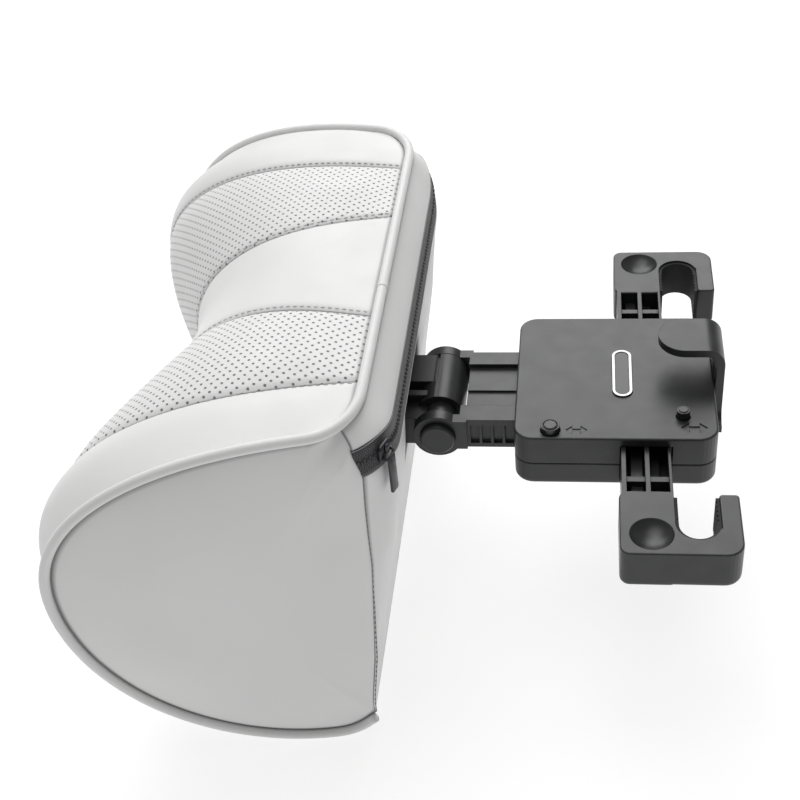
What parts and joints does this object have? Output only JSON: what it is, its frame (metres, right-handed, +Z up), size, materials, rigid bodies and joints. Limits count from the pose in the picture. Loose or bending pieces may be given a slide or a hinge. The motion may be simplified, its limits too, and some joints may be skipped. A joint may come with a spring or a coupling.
{
  "type": "headrest neck pillow with post clamp",
  "caption": "Padded neck pillow on a plastic bracket that slides, tilts and hooks on the round posts of a seat's headrest, with a bag hook behind.",
  "frame": {"origin": "midway between the two post slots, at half the height of the hooks", "axes": "+Z up along the posts, -Y forward towards the pillow, +X to the right seen from the rear"},
  "size_m": [0.2686, 0.2703, 0.1678],
  "materials": {
    "bracket_plastic": "fine satin texture",
    "button_plastic": "satin",
    "gear_plastic": "satin",
    "plate_plastic": "matt",
    "liner_rubber": "matt",
    "screw_steel": "zinc plated",
    "spring_steel": "bright wire",
    "badge_chrome": "bright",
    "badge_gloss": "gloss",
    "pillow_leather": "fine grain, semi matt",
    "piping_leather": "fine grain, semi matt",
    "pillow_foam": "open-cell foam",
    "zip_fabric": "woven",
    "zip_metal": "black lacquer"
  },
  "bodies": {
    "housing": {"housing_top": "bracket_plastic", "housing_bottom": "bracket_plastic", "housing_screws": "screw_steel", "badge_rim": "badge_chrome", "badge_infill": "badge_gloss", "bag_hook": "bracket_plastic", "pinion_axle": "screw_steel"},
    "left_hook": {"hook_arm_left": "bracket_plastic", "post_liner_left": "liner_rubber"},
    "right_hook": {"hook_arm_right": "bracket_plastic", "post_liner_right": "liner_rubber"},
    "pinion": {"rack_pinion": "gear_plastic"},
    "hook_release": {"hook_release_button": "button_plastic", "hook_release_spring": "spring_steel"},
    "slide": {"slide_frame": "bracket_plastic"},
    "slide_release": {"slide_release_button": "button_plastic", "slide_release_spring": "spring_steel"},
    "pillow": {"tilt_yoke": "bracket_plastic", "tilt_spring": "spring_steel", "flange_screws": "screw_steel", "pillow_back_plate": "plate_plastic", "pillow_foam": "pillow_foam", "face_cover": "pillow_leather", "end_cap_left": "pillow_leather", "end_cap_right": "pillow_leather", "back_cover": "pillow_leather", "gusset_strip": "pillow_leather", "piping": "piping_leather", "zip_tape": "zip_fabric", "zip_slider": "zip_metal"},
    "tilt_button_l": {"tilt_button_left": "button_plastic"},
    "tilt_button_r": {"tilt_button_right": "button_plastic"},
    "zip_tab": {"zip_pull": "zip_metal"}
  },
  "joints": [
    {"name": "right_hook_slide", "type": "slide", "parent": "housing", "child": "right_hook", "axis": [1, 0, 0], "range_m": [-0.024, 0.005]},
    {"name": "left_hook_slide", "type": "slide", "parent": "housing", "child": "left_hook", "axis": [-1, 0, 0], "range_m": [-0.024, 0.005]},
    {"name": "pinion_spin", "type": "hinge", "parent": "housing", "child": "pinion", "pos_m": [0, -0.0185, -0.007], "axis": [0, 0, 1], "range_deg": [-62, 290]},
    {"name": "hook_release_press", "type": "slide", "parent": "housing", "child": "hook_release", "axis": [0, 0, -1], "range_m": [0, 0.0026], "stiffness_N_per_m": 900, "springref_m": -0.0012, "deforming": ["hook_release_spring"]},
    {"name": "slide_run", "type": "slide", "parent": "housing", "child": "slide", "axis": [0, 1, 0], "range_m": [-0.005, 0.02]},
    {"name": "slide_release_press", "type": "slide", "parent": "housing", "child": "slide_release", "axis": [0, 0, -1], "range_m": [0, 0.0018], "stiffness_N_per_m": 900, "springref_m": -0.0012, "deforming": ["slide_release_spring"]},
    {"name": "pillow_tilt", "type": "hinge", "parent": "slide", "child": "pillow", "pos_m": [0, -0.1067, -0.0007], "axis": [1, 0, 0], "range_deg": [-30, 30]},
    {"name": "tilt_button_left_press", "type": "slide", "parent": "slide", "child": "tilt_button_l", "axis": [1, 0, 0], "range_m": [0, 0.0024], "stiffness_N_per_m": 1200, "springref_m": -0.001, "deforming": ["tilt_spring"]},
    {"name": "tilt_button_right_press", "type": "slide", "parent": "slide", "child": "tilt_button_r", "axis": [-1, 0, 0], "range_m": [0, 0.0024], "stiffness_N_per_m": 1200, "springref_m": -0.001, "deforming": ["tilt_spring"]},
    {"name": "zip_tab_swing", "type": "hinge", "parent": "pillow", "child": "zip_tab", "pos_m": [0.09935, -0.11386, 0.0539], "axis": [0.9272, -0.3746, 0], "range_deg": [0, 100]}
  ],
  "couplings": [
    {"joint": "left_hook_slide", "follows": "right_hook_slide", "ratio": 1},
    {"joint": "pinion_spin", "follows": "right_hook_slide", "rad_per_m": -208.33}
  ]
}
